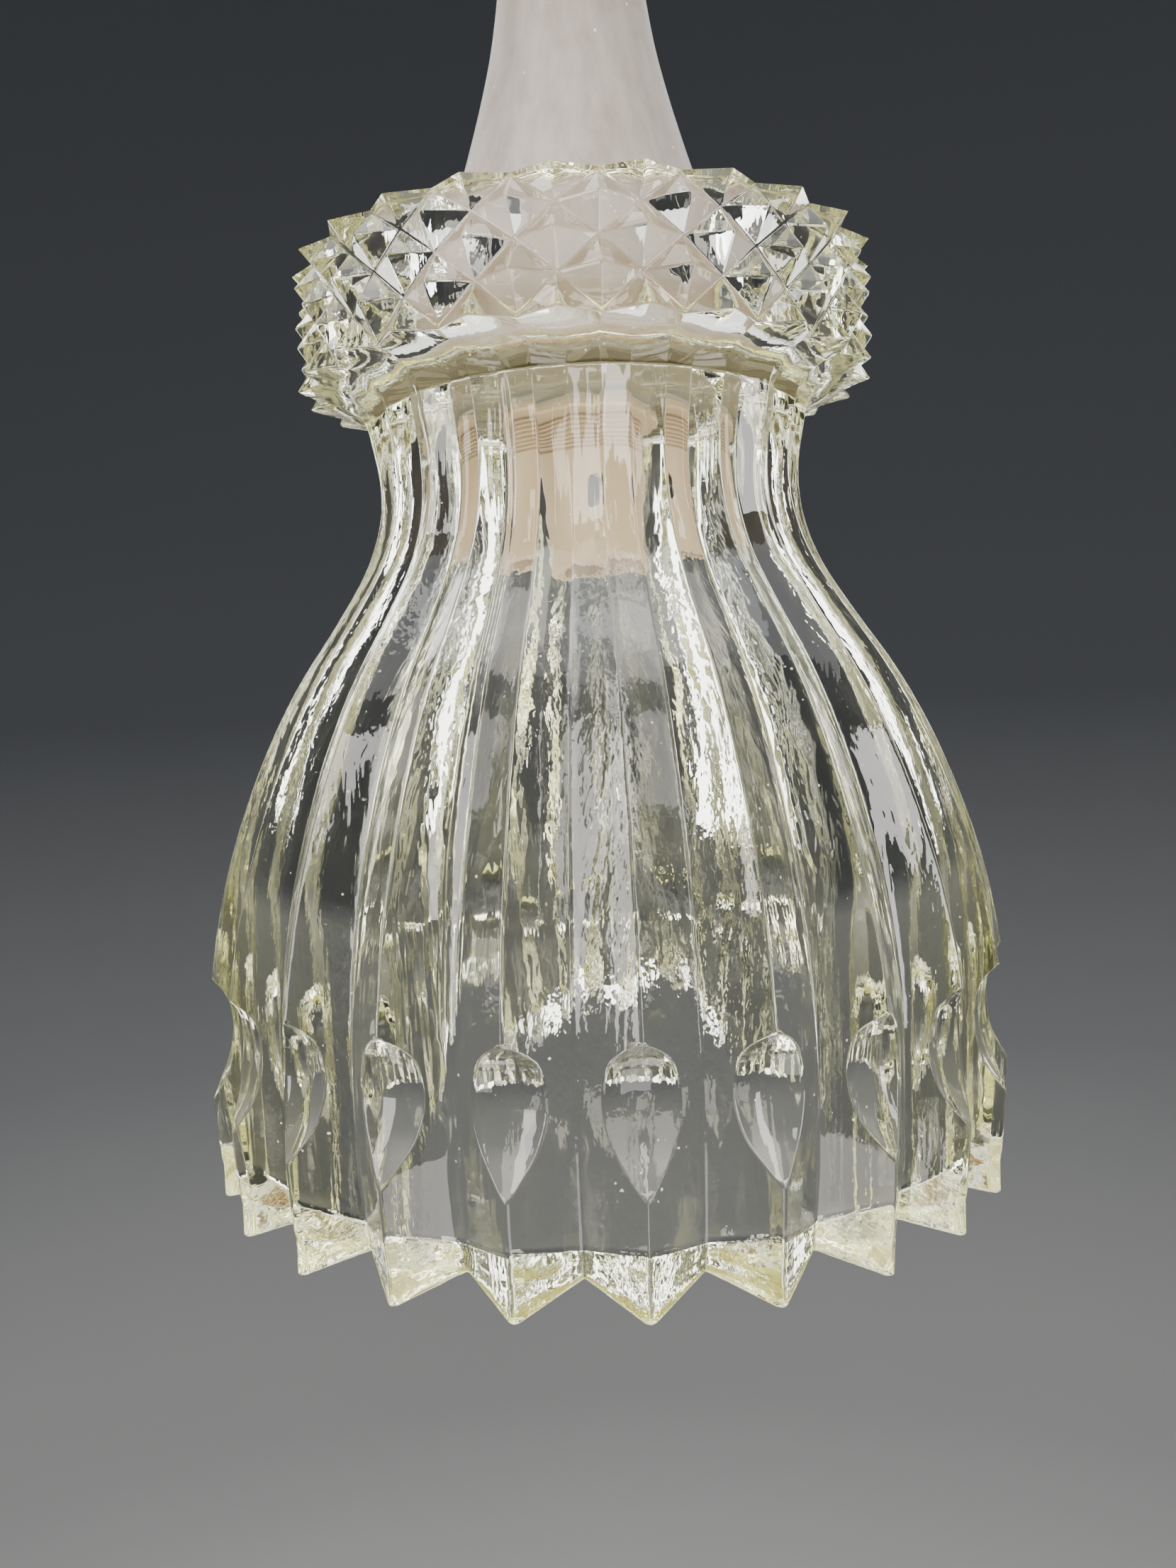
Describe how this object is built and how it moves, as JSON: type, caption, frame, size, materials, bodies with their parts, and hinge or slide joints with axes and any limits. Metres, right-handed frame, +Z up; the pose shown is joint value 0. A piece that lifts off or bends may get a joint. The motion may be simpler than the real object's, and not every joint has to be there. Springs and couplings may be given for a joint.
{
  "type": "pendant ceiling light",
  "caption": "Pendant light: ribbed bell shade of clear pressed glass with a diamond band and toothed rim, hung on a screw lampholder under a trumpet cover.",
  "frame": {"origin": "centre of the cord grip's mouth, on the axis of the light, where the cord holds it up", "axes": "+Z up along the cord and the axis of the shade; -Y is the side seen from the front, with a rib on it"},
  "size_m": [0.1718, 0.1718, 0.3102],
  "materials": {
    "glass": "clear pressed glass, faint yellow-green in the thick edges",
    "cover_paint": "satin warm grey",
    "cover_bush_plastic": "matt warm grey",
    "beige_plastic": "satin cream, slightly aged",
    "dark_plastic": "matt black",
    "insert_ceramic": "unglazed white",
    "socket_brass": "rolled, slightly tarnished",
    "terminal_brass": "turned",
    "plated_steel": "zinc plated",
    "grip_plastic": "translucent white nylon",
    "washer_rubber": "pale grey fibre-filled rubber"
  },
  "bodies": {
    "holder": {"holder_skirt": "beige_plastic", "holder_cap": "beige_plastic", "holder_insert": "insert_ceramic", "edison_shell": "socket_brass", "contact_rivet": "socket_brass", "live_terminal": "terminal_brass", "neutral_terminal": "terminal_brass", "terminal_screws": "plated_steel", "cord_nipple": "plated_steel", "nipple_nut": "plated_steel", "cord_grip": "grip_plastic", "cord_grip_screw": "grip_plastic"},
    "cover": {"canopy_cover": "cover_paint", "cover_bush": "cover_bush_plastic"},
    "shade": {"glass_shade": "glass", "lower_washer": "washer_rubber", "upper_disc": "beige_plastic"},
    "ring": {"shade_ring": "beige_plastic"},
    "contact": {"centre_contact": "socket_brass"},
    "latch": {"skirt_latch": "dark_plastic"}
  },
  "joints": [
    {"name": "cover_lift", "type": "slide", "parent": "holder", "child": "cover", "axis": [0, 0, 1], "range_m": [0, 0.06]},
    {"name": "shade_drop", "type": "slide", "parent": "holder", "child": "shade", "axis": [0, 0, -1], "range_m": [0, 0.0091]},
    {"name": "ring_turn", "type": "hinge", "parent": "shade", "child": "ring", "pos_m": [0, 0, -0.0539], "axis": [0, 0, -1], "range_deg": [0, 2520]},
    {"name": "contact_press", "type": "hinge", "parent": "holder", "child": "contact", "pos_m": [-0.0085, 0, -0.0599], "axis": [0, -1, 0], "range_deg": [0, 10], "stiffness_Nm_per_rad": 0.25},
    {"name": "latch_press", "type": "slide", "parent": "holder", "child": "latch", "axis": [-0.309, 0.9511, 0], "range_m": [0, 0.0012], "stiffness_N_per_m": 800}
  ],
  "couplings": [
    {"joint": "ring_turn", "follows": "shade_drop", "rad_per_m": 4833.2}
  ]
}
